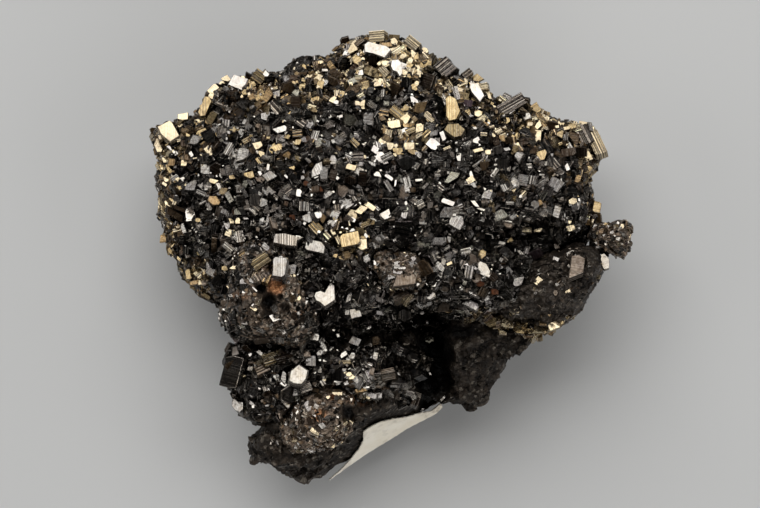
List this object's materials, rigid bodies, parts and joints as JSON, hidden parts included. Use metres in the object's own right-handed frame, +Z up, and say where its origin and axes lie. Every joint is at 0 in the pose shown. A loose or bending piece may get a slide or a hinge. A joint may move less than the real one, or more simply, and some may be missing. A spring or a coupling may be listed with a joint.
{
  "type": "druzy pyrite pseudomorph, a mineral specimen on its matrix",
  "caption": "Cabinet mineral specimen of pyrite after pyrrhotite: a crust of small dark metallic hexagonal plates, brassy in places, on dull brown rock with a blank cream paper label",
  "frame": {"origin": "middle of the bounding box seen from above, on the flat facet that the specimen rests on", "axes": "+X along the specimen's width, its longest side; +Y from the labelled wedge to the crest; +Z up, out of the crystal face. It lies on its broken back"},
  "size_m": [0.1058, 0.0994, 0.0462],
  "materials": {
    "rock": "dull brown-black massive rock, bedded and pitted, with pale dust in the hollows",
    "druse": "thousands of small metallic hexagonal plates, tarnished dark with bright mirror facets between",
    "nodule": "fine tightly packed crystals, duller and browner than the plates, pitted",
    "steely": "bright pale grey metallic faces, lightly striated, with a thin tarnish",
    "brassy": "pale brass-yellow metallic faces with striated edges and a patchy iridescent tarnish",
    "label": "old cream paper, matt, slightly yellowed and rubbed at its edges, blank"
  },
  "bodies": {
    "root": {"matrix": "rock", "druse_upper": "druse", "druse_lower": "druse", "nodule_left": "nodule", "nodule_right": "nodule", "nub_right": "nodule", "rosette_centre": "nodule", "rosette_bottom": "nodule", "crystal_crest_white": "brassy", "crystal_crest_stack": "brassy", "crystal_crest_face": "brassy", "crystal_shoulder_stack": "brassy", "crystal_shoulder_plate": "brassy", "crystal_right_tablet": "brassy", "crystal_right_column": "brassy", "crystal_left_block": "brassy", "crystal_left_tablet": "brassy", "crystal_rim_blade": "brassy", "crystal_brass_slab": "brassy", "crystal_brass_low": "brassy", "crystal_edge_spike": "brassy", "crystal_centre_gold": "brassy", "crystal_ledge_plate": "steely", "crystal_ledge_twin": "steely", "crystal_bright_plate": "steely", "crystal_barrel_cap": "steely", "crystal_barrel_stack": "steely", "crystal_lower_plate": "steely", "crystal_left_fin": "steely", "crystal_heart_plate": "steely", "paper_label": "label"}
  },
  "joints": []
}
